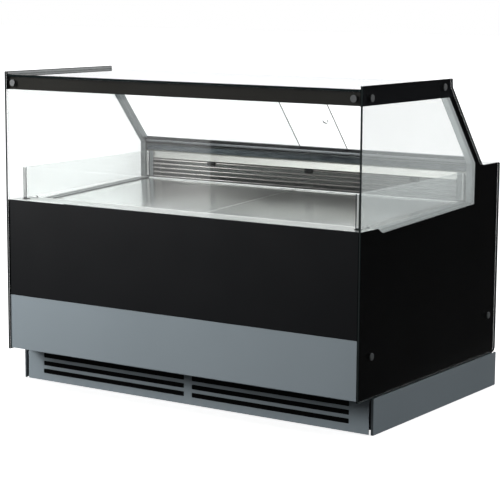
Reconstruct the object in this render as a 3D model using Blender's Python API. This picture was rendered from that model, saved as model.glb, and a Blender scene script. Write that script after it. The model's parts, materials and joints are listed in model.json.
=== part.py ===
"""Refrigerated serve-over display counter: square glass display top, flat deck and sliding rear panes.

Metres, +Z up. The origin is on the floor at the centre of the outer box. +X is to the right for the
customer in front of the counter, and +Y points back to the operator. Outlines across the counter are
written as (depth, height), with depth measured back from the front edge of the end glasses.
"""
import math

import bmesh
import bpy
from mathutils import Matrix, Vector

# Driving dimensions
LENGTH = 1.540              # over the end glasses
DEPTH = 1.0325              # front edge of the end glasses to the back of the plinth
HEIGHT = 1.184              # floor to the top of the end glasses
GAP = 0.0003                # between pieces that touch
SHEET = 0.0015              # bent sheet metal
HALF = LENGTH / 2
FRONT = -DEPTH / 2          # Y of depth 0

# Heights
PLINTH_FOOT = 0.002
PLINTH_TOP = 0.130
SKIRT_FOOT = 0.132          # lower edge of the end glasses
BAND_FOOT = 0.137
PANEL_FOOT = 0.342          # joint between the grey band and the black panel
PANEL_TOP = 0.704
WORKTOP = 0.856
HEADER_FOOT = 1.118
ROOF_FOOT = 1.1653
ROOF_TOP = 1.1733

# Glass
END_GLASS = 0.008
FRONT_GLASS = 0.006
TRIM_RISE = 0.002              # top of the deck trims above the deck
CHANNEL_BACK = 0.116           # where the front channel turns down to the air gap
CHANNEL_CHAMFER = 0.017
SCREEN = 0.016                 # double glazing of the low end screens
SCREEN_PANE = 0.004
PANE = 0.005
INSIDE = HALF - END_GLASS   # inner faces of the end glasses
INNER = INSIDE - 0.0015     # ends of what spans between the end glasses

# Front
FACE = 0.0035               # depth of the front face behind the edge of the end glasses
PLINTH_FACE = 0.098

# Deck: a slope between two points of (depth, height)
DECK_FRONT = (0.150, 0.688)
DECK_REAR = (0.8165, 0.7190)
DECK_SIDE = 0.7145          # outer edges of the deck plates
TUB_RIM = 0.670
TUB_FLOOR = 0.390

# Rear slope: the sliding panes lean back along it
SLOPE_FOOT = Vector((0.8285, 0.867))
SLOPE_UP = Vector((-0.651, 0.759)).normalized()
SLOPE_OUT = Vector((SLOPE_UP.y, -SLOPE_UP.x))
POST_SIDE = 0.7365          # inner faces of the posts
SCREEN_SIDE = 0.7165        # inner faces of the low end screens
PANE_WIDTH = 0.756
PANE_LAYERS = (0.0005, 0.0085)          # front faces of the left and the right pane, out from the slope
PANE_REACH = (-0.0035, 0.3600)          # lower and upper edges of the panes, up the slope
PANE_LIMIT = POST_SIDE - 0.001
RIGHT_PANE_SHIFT = -0.508   # the right pane stands part open, pushed to the left

# Round screw caps
CAP_RADIUS = 0.0125
CAP_DEPTH = 0.003
END_CAPS = {"front_top": (0.059, 1.142), "rear_top": (0.571, 1.156),
            "front_low": (0.083, 0.277), "rear_low": (0.963, 0.282)}
FRONT_CAP = (0.734, 1.142)

# Back of the counter
BACK_FACE = 1.0295
CONTROL_HEIGHT = 0.785
THERMOSTAT_X = 0.480
SWITCH_X = {"light_switch": 0.395, "main_switch": 0.365}
INLET = (-0.640, 0.080)

# Machinery
PAN_FOOT = 0.030
PAN_FLOOR = PAN_FOOT + 0.004
TUB_FOOT = 0.345
CONDENSER_X = -0.375
CONDENSER_Z = 0.175
FAN_HOLE = 0.104
EVAPORATOR_FANS = {"evaporator_fan_left": -0.30, "evaporator_fan_right": 0.30}
EVAPORATOR_Z = 0.515

SIDES = {"left": -1, "right": 1}


# --- helpers -----------------------------------------------------------------------------------------

def material(name, colour, roughness, metallic=0.0):
    """A Principled BSDF material, made once."""
    if name in bpy.data.materials:
        return bpy.data.materials[name]
    made = bpy.data.materials.new(name)
    made.use_nodes = True
    shader = made.node_tree.nodes["Principled BSDF"]
    shader.inputs["Base Color"].default_value = (*colour, 1.0)
    shader.inputs["Roughness"].default_value = roughness
    shader.inputs["Metallic"].default_value = metallic
    return made


def at(x, depth, height):
    """The point at a depth behind the end glasses' front edge."""
    return Vector((x, FRONT + depth, height))


def place(axis, along, a, b):
    """A point at a distance along an axis and (a, b) across it."""
    if axis == "X":
        return at(along, a, b)
    if axis == "Y":
        return at(a, along, b)
    return at(a, b, along)


def finish(name, bm, surface, origin=(0, 0, 0), smooth=False):
    """Turn a bmesh built in world coordinates into an object whose origin is at the given point."""
    bmesh.ops.recalc_face_normals(bm, faces=bm.faces)
    mesh = bpy.data.meshes.new(name)
    bm.to_mesh(mesh)
    bm.free()
    mesh.transform(Matrix.Translation(-Vector(origin)))
    mesh.materials.append(surface)
    if smooth:
        mesh.shade_smooth()
        mesh.set_sharp_from_angle(angle=math.radians(35))
    obj = bpy.data.objects.new(name, mesh)
    obj.location = origin
    bpy.context.collection.objects.link(obj)
    return obj


def add_prism(bm, outline, axis, start, end):
    """Extrude an outline of (a, b) points along an axis into a closed solid."""
    face = bm.faces.new([bm.verts.new(place(axis, start, a, b)) for a, b in outline])
    grown = bmesh.ops.extrude_face_region(bm, geom=[face])["geom"]
    step = place(axis, end, 0, 0) - place(axis, start, 0, 0)
    bmesh.ops.translate(bm, verts=[v for v in grown if isinstance(v, bmesh.types.BMVert)], vec=step)


def prism(name, outline, axis, start, end, surface, **options):
    bm = bmesh.new()
    add_prism(bm, outline, axis, start, end)
    return finish(name, bm, surface, **options)


def rectangle(low, high):
    return [(low[0], low[1]), (high[0], low[1]), (high[0], high[1]), (low[0], high[1])]


def box(name, low, high, surface, **options):
    """A box between two corners given as (x, depth, height)."""
    outline = rectangle(low[1:], high[1:])
    return prism(name, outline, "X", low[0], high[0], surface, **options)


def circle(centre, radius, sides=24):
    """Outline of a circle."""
    turn = 2 * math.pi / sides
    return [(centre[0] + radius * math.cos(i * turn), centre[1] + radius * math.sin(i * turn))
            for i in range(sides)]


def rounded(corners, steps=4):
    """An outline from (a, b, radius) corners, each with a radius turned into an arc."""
    outline = []
    for i, (a, b, radius) in enumerate(corners):
        corner = Vector((a, b))
        if radius == 0:
            outline.append(corner)
            continue
        before = (Vector(corners[i - 1][:2]) - corner).normalized()
        after = (Vector(corners[(i + 1) % len(corners)][:2]) - corner).normalized()
        half = before.angle(after) / 2
        centre = corner + (before + after).normalized() * radius / math.sin(half)
        first = corner + before * radius / math.tan(half) - centre
        last = corner + after * radius / math.tan(half) - centre
        for step in range(steps + 1):
            outline.append(centre + first.slerp(last, step / steps).normalized() * radius)
    return outline


def bent_sheet(path, thickness=SHEET):
    """Closed outline of a bent sheet: one face follows the path, the other lies to the path's right."""
    points = [Vector(point) for point in path]
    normals = []
    for start, end in zip(points, points[1:]):
        run = (end - start).normalized()
        normals.append(Vector((run.y, -run.x)))
    other = []
    for i, point in enumerate(points):
        before = normals[max(i - 1, 0)]
        after = normals[min(i, len(normals) - 1)]
        other.append(point + (before + after) * thickness / (1 + before.dot(after)))
    return points + other[::-1]


def slope_point(out, up):
    """(depth, height) of a point out from the rear slope and up along it."""
    return SLOPE_FOOT + SLOPE_OUT * out + SLOPE_UP * up


def deck_height(depth):
    """Height of the deck's top face at a depth."""
    rise = (DECK_REAR[1] - DECK_FRONT[1]) / (DECK_REAR[0] - DECK_FRONT[0])
    return DECK_FRONT[1] + rise * (depth - DECK_FRONT[0])


def lathe(name, profile, centre, direction, surface, sides=24, **options):
    """Turn a profile of (radius, distance) points, closed on the axis, about a direction from a centre."""
    bm = bmesh.new()
    verts = [bm.verts.new((radius, 0, distance)) for radius, distance in profile]
    edges = [bm.edges.new(pair) for pair in zip(verts, verts[1:])]
    bmesh.ops.spin(bm, geom=verts + edges, cent=(0, 0, 0), axis=(0, 0, 1), dvec=(0, 0, 0),
                   angle=2 * math.pi, steps=sides, use_merge=True)
    bmesh.ops.remove_doubles(bm, verts=bm.verts, dist=0.00001)
    bmesh.ops.triangulate(bm, faces=[face for face in bm.faces if len(face.verts) > 4])
    turn = Vector((0, 0, 1)).rotation_difference(Vector(direction)).to_matrix().to_4x4()
    bm.transform(Matrix.Translation(centre) @ turn)
    return finish(name, bm, surface, smooth=True, **options)


def helper(name, outlines, axis, start, end):
    """A hidden solid of one or more prisms, used to cut or to add."""
    bm = bmesh.new()
    for outline in outlines:
        add_prism(bm, outline, axis, start, end)
    obj = finish(name, bm, material("helper", (0.8, 0.2, 0.2), 0.5))
    obj.hide_render = True
    obj.display_type = "WIRE"
    return obj


def combine(target, tool, operation):
    modifier = target.modifiers.new(tool.name, "BOOLEAN")
    modifier.operation = operation
    modifier.object = tool
    modifier.solver = "EXACT"


def cut(target, outlines, axis, start, end):
    """Cut prisms out of a target."""
    tool = helper(f"{target.name}_cut_{len(target.modifiers)}", outlines, axis, start, end)
    combine(target, tool, "DIFFERENCE")


def add(target, outlines, axis, start, end):
    """Weld prisms onto a target."""
    tool = helper(f"{target.name}_add_{len(target.modifiers)}", outlines, axis, start, end)
    combine(target, tool, "UNION")


def clear_scene():
    for obj in list(bpy.data.objects):
        bpy.data.objects.remove(obj, do_unlink=True)


# --- materials ---------------------------------------------------------------------------------------

def clear_glass():
    return material("clear_glass", (0.92, 0.96, 0.95), 0.03)


def printed_glass():
    return material("printed_glass", (0.012, 0.013, 0.014), 0.08)


def black_paint():
    return material("black_paint", (0.018, 0.019, 0.021), 0.35)


def grey_paint():
    return material("grey_paint", (0.22, 0.26, 0.29), 0.40, 0.3)


def stainless():
    return material("stainless", (0.62, 0.63, 0.62), 0.30, 1.0)


def aluminium():
    return material("aluminium", (0.55, 0.57, 0.59), 0.35, 1.0)


def galvanised():
    return material("galvanised", (0.50, 0.52, 0.53), 0.45, 1.0)


def dark_plastic():
    return material("dark_plastic", (0.03, 0.03, 0.03), 0.45)


# --- display top -------------------------------------------------------------------------------------

def end_glass(side_name, side):
    """Full-height end panel: square front, sloping back, and a low shelf at the operator's side."""
    back = 1.0305
    outline = rounded([
        (0, SKIRT_FOOT, 0),
        (back, SKIRT_FOOT, 0.020),
        (back, WORKTOP, 0.008),
        (0.886, WORKTOP, 0.020),
        (0.633, 1.153, 0.006),
        (0.630, HEIGHT, 0.002),
        (0, HEIGHT, 0.002),
    ])
    prism(f"side_glass_{side_name}", outline, "X", side * INSIDE, side * HALF, printed_glass())


def cap(name, centre, direction):
    """Round screw cap with a softened rim."""
    rim = 0.0006
    profile = [(0, 0), (CAP_RADIUS, 0), (CAP_RADIUS, CAP_DEPTH - rim), (CAP_RADIUS - rim, CAP_DEPTH),
               (0, CAP_DEPTH)]
    lathe(name, profile, centre, direction, dark_plastic())


def end_caps(side_name, side):
    for place_name, (depth, height) in END_CAPS.items():
        centre = at(side * (HALF + GAP), depth, height)
        cap(f"side_cap_{side_name}_{place_name}", centre, (side, 0, 0))


def front_caps():
    for side_name, side in SIDES.items():
        centre = at(side * FRONT_CAP[0], FACE - GAP, FRONT_CAP[1])
        cap(f"front_cap_{side_name}", centre, (0, -1, 0))


def roof_glass():
    outline = rounded([(0.004, ROOF_FOOT, 0), (0.630, ROOF_FOOT, 0), (0.630, ROOF_TOP, 0.002),
                       (0.004, ROOF_TOP, 0.002)], steps=2)
    prism("roof_glass", outline, "X", -INSIDE + GAP, INSIDE - GAP, clear_glass())


def front_glass():
    """Front pane, which tilts forward about its outer lower edge."""
    foot = PANEL_TOP + 0.002
    outline = rectangle((FACE, foot), (FACE + FRONT_GLASS, ROOF_FOOT - 0.002))
    prism("front_glass", outline, "X", -INNER, INNER, clear_glass(), origin=at(0, FACE, foot - 0.0005))


def header_beam():
    """Channel behind the top band, open below for the lamp."""
    front = FACE + FRONT_GLASS + 0.001
    back = 0.050
    top = ROOF_FOOT - GAP
    path = [(front, HEADER_FOOT + 0.002), (front, top), (back, top), (back, HEADER_FOOT + 0.002)]
    prism("header_beam", bent_sheet(path, 0.002), "X", -INNER, INNER, black_paint())


def led_lamp():
    """Lamp with a rounded lens, hung in the header channel."""
    outline = rounded([(0.022, 1.1610, 0), (0.022, 1.1260, 0.006), (0.042, 1.1260, 0.006), (0.042, 1.1610, 0)])
    prism("led_lamp", outline, "X", -0.70, 0.70, material("lamp", (0.9, 0.9, 0.86), 0.4), smooth=True)


def inner_glass(side_name, side):
    """Low double-glazed screen that stands on the channel, steps down its chamfer and follows the trim."""
    front, rear, seat = 0.055, 0.823, 0.0005
    step = CHANNEL_BACK + seat / 2
    low = step + CHANNEL_CHAMFER
    foot = [(front, PANEL_TOP + seat), (step, PANEL_TOP + seat), (low, deck_height(low) + TRIM_RISE + seat),
            (rear, deck_height(rear) + TRIM_RISE + seat)]
    screen = prism(f"inner_glass_{side_name}", foot + [(rear, 0.830), (front, 0.824)], "X", side * SCREEN_SIDE,
                   side * (SCREEN_SIDE + SCREEN), clear_glass())
    clear = SCREEN_SIDE + SCREEN_PANE, SCREEN_SIDE + SCREEN - SCREEN_PANE
    edge, above, spacer = 0.05, 0.9, 0.006
    slot = [(depth + turn * spacer, height + spacer) for (depth, height), turn in zip(foot, (0, 0.4, 0.4, 0))]
    slot[0] = (front - edge, slot[0][1])
    slot[-1] = (rear + edge, slot[-1][1])
    slot += [(rear + edge, above), (front - edge, above)]
    cut(screen, [slot], "X", *sorted(side * x for x in clear))


def rear_post(side_name, side):
    """Bent post: upright beside the duct cover, then leaning with the panes."""
    face_depth = 0.8185
    lean_start = slope_point(-0.008, 0.006)
    path = [(face_depth, 0.7225), (face_depth, lean_start.y), slope_point(-0.008, 0.362)]
    outline = bent_sheet(path, 0.026)
    prism(f"rear_post_{side_name}", outline, "X", side * POST_SIDE, side * INNER, aluminium())


def rear_rail():
    """Upper rail with two grooves, which carries the roof glass."""
    foot, groove, top = 0.352, 0.364, ROOF_FOOT - GAP
    wall = 0.001
    slope = [slope_point(-0.006, foot)]
    for layer in PANE_LAYERS:
        slope += [slope_point(layer - wall, foot), slope_point(layer - wall, groove),
                  slope_point(layer + PANE + wall, groove), slope_point(layer + PANE + wall, foot)]
    slope += [slope_point(0.0185, foot), slope_point(0.0185, 0.3740), (0.600, top), (0.572, top)]
    prism("rear_rail", slope, "X", -POST_SIDE + GAP, POST_SIDE - GAP, aluminium())


def rear_track():
    """Lower track with two grooves, standing on the worktop."""
    foot, groove = WORKTOP + 0.0005, -0.0045
    wall = 0.001
    outline = [slope_point(-0.006, 0.011)]
    for layer in PANE_LAYERS:
        outline += [slope_point(layer - wall, 0.014), slope_point(layer - wall, groove),
                    slope_point(layer + PANE + wall, groove), slope_point(layer + PANE + wall, 0.014)]
    outline += [slope_point(0.0185, 0.014), slope_point(0.0185, groove), (0.853, foot), (0.8290, foot)]
    prism("rear_track", outline, "X", -POST_SIDE + GAP, POST_SIDE - GAP, aluminium())


def rear_pane(name, layer, start, finger_x):
    """Sliding clear pane with a finger hole near its outer end."""
    low, high = PANE_REACH
    outline = [slope_point(layer, low), slope_point(layer + PANE, low), slope_point(layer + PANE, high),
               slope_point(layer, high)]
    middle = slope_point(layer, (low + high) / 2)
    pane = prism(name, outline, "X", start, start + PANE_WIDTH, clear_glass(),
                 origin=at(start + PANE_WIDTH / 2, *middle))
    out = Vector((0, SLOPE_OUT.x, SLOPE_OUT.y))
    drill = lathe(f"{name}_drill", [(0, -0.01), (0.011, -0.01), (0.011, 0.02), (0, 0.02)],
                  at(finger_x, *slope_point(layer, 0.165)), out, clear_glass(), sides=16)
    drill.hide_render = True
    drill.display_type = "WIRE"
    combine(pane, drill, "DIFFERENCE")


def rear_panes():
    left_start = -PANE_LIMIT
    rear_pane("rear_pane_left", PANE_LAYERS[0], left_start, left_start + 0.042)
    right_start = PANE_LIMIT - PANE_WIDTH + RIGHT_PANE_SHIFT
    rear_pane("rear_pane_right", PANE_LAYERS[1], right_start, right_start + PANE_WIDTH - 0.042)


# --- front and deck ----------------------------------------------------------------------------------

def front_panel():
    """Black front panel with folded edges."""
    fold = FACE + 0.008
    path = [(fold, PANEL_TOP), (FACE, PANEL_TOP), (FACE, PANEL_FOOT), (fold, PANEL_FOOT)]
    prism("front_panel", bent_sheet(path[::-1]), "X", -INNER, INNER, black_paint())


def front_band():
    """Grey band below the black panel, folded back under the counter as its underside."""
    top = PANEL_FOOT - GAP
    path = [(0.110, BAND_FOOT), (FACE, BAND_FOOT), (FACE, top), (FACE + 0.008, top)]
    prism("front_band", bent_sheet(path), "X", -INNER, INNER, grey_paint())


def front_channel():
    """Bright profile along the front of the deck, with its chamfer down to the air gap."""
    path = [(0.0125, TUB_RIM + GAP), (0.0125, PANEL_TOP), (CHANNEL_BACK, PANEL_TOP),
            (CHANNEL_BACK + CHANNEL_CHAMFER, PANEL_TOP - CHANNEL_CHAMFER)]
    prism("front_channel", bent_sheet(path), "X", -INNER, INNER, stainless())


def deck_plate(side_name, side):
    """Lift-off deck plate with folded edges and a small raised lip at the back."""
    fold = 0.015
    path = [(DECK_FRONT[0], DECK_FRONT[1] - fold), DECK_FRONT, DECK_REAR, (DECK_REAR[0], DECK_REAR[1] + 0.005)]
    prism(f"deck_plate_{side_name}", bent_sheet(path), "X", side * 0.0008, side * DECK_SIDE, stainless(),
          origin=at(side * DECK_SIDE / 2, DECK_FRONT[0], DECK_FRONT[1]))


def deck_bearer():
    """Bar under the joint of the deck plates, on a leg at the front and against the tub's back wall."""
    drop, thickness = SHEET + GAP, 0.010
    front, leg, rear = 0.1520, 0.1720, 0.9045
    outline = [(front, TUB_FLOOR + GAP), (leg, TUB_FLOOR + GAP), (leg, deck_height(leg) - drop - thickness),
               (rear, deck_height(rear) - drop - thickness), (rear, deck_height(rear) - drop),
               (front, deck_height(front) - drop)]
    prism("deck_bearer", outline, "X", -0.020, 0.020, stainless())


def deck_trim(side_name, side):
    """Bar beside a deck plate, from the tub's rim up to just above the deck."""
    start, end = 0.136, 0.818
    outline = [(start, TUB_RIM + GAP), (end, TUB_RIM + GAP), (end, deck_height(end) + TRIM_RISE),
               (start, deck_height(start) + TRIM_RISE)]
    prism(f"deck_trim_{side_name}", outline, "X", side * (DECK_SIDE + 0.0005), side * INNER, stainless())


def duct_cover():
    """Louvred cover of the rear air duct, with a sloping cap strip."""
    face = 0.8285
    path = [(face, 0.7215), (face, 0.8000), (face - 0.005, 0.8030), (0.8350, 0.8300), (0.8350, 0.8340)]
    width = POST_SIDE - GAP
    cover = prism("duct_cover", bent_sheet(path), "X", -width, width, stainless())
    slots = [rectangle((-0.700, height), (0.700, height + 0.009)) for height in (0.731, 0.748, 0.765, 0.782)]
    cut(cover, slots, "Y", face - 0.003, face + 0.004)


# --- body --------------------------------------------------------------------------------------------

def insulated_tub():
    """Foamed tub: open above, its back wall higher than its front and side walls."""
    tub = box("insulated_tub", (-INNER, 0.0125, TUB_FOOT), (INNER, 0.945, 0.8335),
              material("tub", (0.60, 0.61, 0.60), 0.35))
    cut(tub, [rectangle((0.0625, TUB_FLOOR), (0.905, 0.9))], "X", -INNER + 0.040, INNER - 0.040)
    cut(tub, [rectangle((0, TUB_RIM), (0.8455, 0.9))], "X", -0.8, 0.8)


def worktop():
    """Stainless shelf at the operator's side, notched round the posts."""
    face, back = 0.8265, BACK_FACE - 0.0005
    top = WORKTOP - GAP
    path = [(face, 0.8350), (face, top), (back, top), (back, 0.8350)]
    shelf = prism("worktop", bent_sheet(path), "X", -INNER, INNER, stainless())
    for side in SIDES.values():
        edges = sorted((side * (POST_SIDE - GAP), side * 0.8))
        cut(shelf, [rectangle((0.8, 0.8), (0.8453, 0.9))], "X", *edges)


def rear_panel():
    """Back sheet, with openings for the thermostat and the two switches."""
    width = INNER - 0.0005
    panel = box("rear_panel", (-width, BACK_FACE - 0.002, PANEL_FOOT + 0.002), (width, BACK_FACE, 0.8345),
                grey_paint())
    openings = [rectangle((THERMOSTAT_X - 0.036, CONTROL_HEIGHT - 0.015),
                          (THERMOSTAT_X + 0.036, CONTROL_HEIGHT + 0.015))]
    for x in SWITCH_X.values():
        openings.append(rectangle((x - 0.0070, CONTROL_HEIGHT - 0.0112), (x + 0.0070, CONTROL_HEIGHT + 0.0112)))
    cut(panel, openings, "Y", BACK_FACE - 0.01, BACK_FACE + 0.01)


def rear_grille():
    """Louvred cover of the machine space, with the hole for the power inlet."""
    width = INNER - 0.0005
    grille = box("rear_grille", (-width, BACK_FACE - 0.002, 0.010), (width, BACK_FACE, PANEL_FOOT), grey_paint())
    slots = []
    for centre in (-0.35, 0.35):
        for row in range(6):
            height = 0.170 + row * 0.024
            slots.append(rectangle((centre - 0.22, height), (centre + 0.22, height + 0.008)))
    slots.append(circle(INLET, 0.012, 16))
    cut(grille, slots, "Y", BACK_FACE - 0.01, BACK_FACE + 0.01)


def power_inlet():
    """Flanged gland in the rear grille."""
    profile = [(0, -0.020), (0.0115, -0.020), (0.0115, GAP), (0.019, GAP), (0.019, 0.0020), (0.0115, 0.0030),
               (0.0060, 0.0030), (0.0060, -0.012), (0, -0.012)]
    lathe("power_inlet", profile, at(INLET[0], BACK_FACE, INLET[1]), (0, 1, 0), dark_plastic(), sides=16)


def plinth_front():
    """Front of the plinth, with two groups of three slots."""
    panel = box("plinth_front", (-0.7560, PLINTH_FACE, PLINTH_FOOT), (0.7560, PLINTH_FACE + SHEET, PLINTH_TOP),
                grey_paint())
    slots = []
    for row in range(3):
        foot = 0.0300 + row * 0.0305
        for start, end in ((-0.679, -0.0165), (0.0185, 0.677)):
            corners = [(a, b, 0.0025) for a, b in rectangle((start, foot), (end, foot + 0.0175))]
            slots.append(rounded(corners, steps=2))
    cut(panel, slots, "Y", PLINTH_FACE - 0.01, PLINTH_FACE + 0.01)


def plinth_side(side_name, side):
    """Side of the plinth, folded in at both ends."""
    outer = HALF + 0.0036
    fold = 0.0100
    front, back = PLINTH_FACE - 0.001, DEPTH
    path = [(side * (outer - fold), front), (side * outer, front), (side * outer, back),
            (side * (outer - fold), back)]
    if side > 0:
        path = path[::-1]
    prism(f"plinth_side_{side_name}", bent_sheet(path), "Z", PLINTH_FOOT, PLINTH_TOP, grey_paint())


def chassis():
    """Base pan with four corner posts that carry the tub."""
    side, front, back = 0.7550, 0.1050, 1.0200
    pan = box("chassis", (-side, front, PAN_FOOT), (side, back, PAN_FLOOR), galvanised())
    width = 0.040
    posts = []
    for x in (-side, side - width):
        for depth in (0.1600, 0.9000):
            posts.append(rectangle((x, depth), (x + width, depth + width)))
    add(pan, posts, "Z", PAN_FLOOR - 0.002, TUB_FOOT - GAP)


def feet():
    """Levelling feet under the base pan."""
    profile = [(0, 0), (0.018, 0), (0.020, 0.002), (0.020, 0.006), (0.010, 0.010), (0.006, 0.012),
               (0.006, PAN_FOOT - GAP), (0, PAN_FOOT - GAP)]
    for side_name, side in SIDES.items():
        for end_name, depth in (("front", 0.180), ("rear", 0.920)):
            lathe(f"foot_{end_name}_{side_name}", profile, at(side * 0.710, depth, 0), (0, 0, 1), dark_plastic(),
                  sides=16)


# --- controls ----------------------------------------------------------------------------------------

BUTTONS = {"button_set": -0.0100, "button_up": 0.0080, "button_down": 0.0210}
BUTTON_SIZE = (0.0050, 0.0035)          # half width, half height
BUTTON_DROP = -0.0095                   # below the thermostat's centre


def thermostat():
    """Digital thermostat: a bezel outside the back sheet and a body behind it."""
    body = box("thermostat", (THERMOSTAT_X - 0.0355, 0.970, CONTROL_HEIGHT - 0.0145),
               (THERMOSTAT_X + 0.0355, BACK_FACE + 0.001, CONTROL_HEIGHT + 0.0145), dark_plastic())
    bezel = rounded([(a, b, 0.003) for a, b in rectangle((THERMOSTAT_X - 0.039, CONTROL_HEIGHT - 0.018),
                                                         (THERMOSTAT_X + 0.039, CONTROL_HEIGHT + 0.018))])
    add(body, [bezel], "Y", BACK_FACE + GAP, BACK_FACE + 0.0020)
    clearance = 0.0004
    pockets = []
    for shift in BUTTONS.values():
        centre = (THERMOSTAT_X + shift, CONTROL_HEIGHT + BUTTON_DROP)
        pockets.append(rectangle((centre[0] - BUTTON_SIZE[0] - clearance, centre[1] - BUTTON_SIZE[1] - clearance),
                                 (centre[0] + BUTTON_SIZE[0] + clearance, centre[1] + BUTTON_SIZE[1] + clearance)))
    cut(body, pockets, "Y", BACK_FACE - 0.004, BACK_FACE + 0.01)


def buttons():
    """Push buttons in the thermostat's pockets, with room behind them for their travel."""
    for name, shift in BUTTONS.items():
        centre = (THERMOSTAT_X + shift, CONTROL_HEIGHT + BUTTON_DROP)
        corners = [(a, b, 0.001) for a, b in rectangle((centre[0] - BUTTON_SIZE[0], centre[1] - BUTTON_SIZE[1]),
                                                       (centre[0] + BUTTON_SIZE[0], centre[1] + BUTTON_SIZE[1]))]
        outline = rounded(corners, steps=2)
        prism(name, outline, "Y", BACK_FACE - 0.0027, BACK_FACE + 0.0029, dark_plastic(),
              origin=at(centre[0], BACK_FACE, centre[1]))


def rockers():
    """Rocker switches, pressed in at the top, each with its origin on its pivot."""
    tilt = Matrix.Rotation(math.radians(8), 2)
    pivot = (BACK_FACE - 0.0010, CONTROL_HEIGHT)
    shape = [(-0.0110, -0.0060), (0.0026, -0.0100), (0.0012, 0), (0.0026, 0.0100), (-0.0110, 0.0060)]
    outline = [Vector(pivot) + tilt @ Vector(point) for point in shape]
    for name, x in SWITCH_X.items():
        prism(name, outline, "X", x - 0.0062, x + 0.0062, dark_plastic(), origin=at(x, *pivot))


# --- machinery ---------------------------------------------------------------------------------------

def compressor():
    """Hermetic compressor: a welded shell on a foot plate."""
    radius, foot = 0.085, PAN_FLOOR + 0.012
    profile = [(0, foot), (0.060, foot), (0.078, foot + 0.012), (radius, foot + 0.030), (radius, 0.190),
               (0.076, 0.220), (0.050, 0.238), (0, 0.244)]
    centre = at(-0.050, 0.480, 0)
    shell = lathe("compressor", profile, centre, (0, 0, 1), black_paint())
    plate = rectangle((-0.050 - 0.105, 0.480 - 0.060), (-0.050 + 0.105, 0.480 + 0.060))
    add(shell, [plate], "Z", PAN_FLOOR + GAP, foot + 0.003)


def condenser_coil():
    """Finned condenser block behind the plinth slots, with return bends at its ends."""
    low, high = (CONDENSER_X - 0.150, 0.116, PAN_FLOOR + GAP), (CONDENSER_X + 0.150, 0.156, 0.315)
    coil = box("condenser_coil", low, high, aluminium())
    bends = []
    for row in range(5):
        height = 0.065 + row * 0.050
        bends.append(rectangle((0.127, height), (0.145, height + 0.026)))
    add(coil, bends, "X", low[0] - 0.012, high[0] + 0.012)


def condenser_shroud():
    """Fan shroud: a plate with a round hole, folded sides, and a bar with the motor on it."""
    half, front, back, wall = 0.145, 0.160, 0.215, 0.004
    middle = (CONDENSER_X, CONDENSER_Z)
    low, high = (middle[0] - half, middle[1] - 0.140), (middle[0] + half, middle[1] + half)
    shroud = box("condenser_shroud", (low[0], front, low[1]), (high[0], back, high[1]), galvanised())
    inner = rectangle((low[0] + wall, low[1] + wall), (high[0] - wall, high[1] - wall))
    cut(shroud, [inner], "Y", front + wall, back + 0.01)
    cut(shroud, [circle(middle, FAN_HOLE, 32)], "Y", front - 0.01, front + wall + 0.001)
    bar = rectangle((low[0] + 0.001, middle[1] - 0.014), (high[0] - 0.001, middle[1] + 0.014))
    add(shroud, [bar], "Y", back - 0.008, back)
    add(shroud, [circle(middle, 0.030, 20)], "Y", back - 0.020, back - 0.002)


def fan(name, centre, radius, depth):
    """Fan with a round hub and five pitched blades, on an axis along Y through its centre."""
    hub_radius = radius * 0.30
    profile = [(0, -depth / 2), (hub_radius, -depth / 2), (hub_radius, depth / 2), (0, depth / 2)]
    hub = lathe(name, profile, centre, (0, 1, 0), dark_plastic(), sides=20, origin=centre)
    bm = bmesh.new()
    pitch, thickness = math.radians(28), 0.0020
    for blade in range(5):
        made = bmesh.ops.create_cube(bm, size=1)["verts"]
        width = depth * 0.85 / math.sin(pitch)
        shape = Matrix.Diagonal((radius - hub_radius * 0.8, thickness, width, 1))
        reach = Matrix.Translation(((radius + hub_radius * 0.8) / 2, 0, 0))
        twist = Matrix.Rotation(pitch, 4, "X")
        spin = Matrix.Rotation(blade * 2 * math.pi / 5, 4, "Y")
        bmesh.ops.transform(bm, verts=made, matrix=spin @ reach @ twist @ shape)
    bm.transform(Matrix.Translation(centre))
    blades = finish(f"{name}_blades", bm, dark_plastic())
    blades.hide_render = True
    blades.display_type = "WIRE"
    combine(hub, blades, "UNION")


def evaporator_coil():
    """Finned evaporator in the tub, with the two fan motors on its front."""
    low, high = (-0.560, 0.720, 0.4200), (0.560, 0.800, 0.6100)
    coil = box("evaporator_coil", low, high, aluminium())
    motors = [circle((x, EVAPORATOR_Z), 0.026, 20) for x in EVAPORATOR_FANS.values()]
    add(coil, motors, "Y", 0.690, 0.725)
    legs = [rectangle((x, 0.730), (x + 0.030, 0.790)) for x in (-0.540, 0.510)]
    add(coil, legs, "Z", TUB_FLOOR + GAP, 0.425)


def fans():
    fan("condenser_fan", at(CONDENSER_X, 0.1820, CONDENSER_Z), 0.096, 0.022)
    for name, x in EVAPORATOR_FANS.items():
        fan(name, at(x, 0.6770, EVAPORATOR_Z), 0.085, 0.024)


def condensate_tray():
    """Open tray for the defrost water."""
    floor = PAN_FLOOR + GAP
    tray = box("condensate_tray", (0.180, 0.600, floor), (0.560, 0.860, floor + 0.045), galvanised())
    cut(tray, [rectangle((0.183, 0.603), (0.557, 0.857))], "Z", floor + 0.003, floor + 0.1)


# --- assembly ----------------------------------------------------------------------------------------

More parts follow.
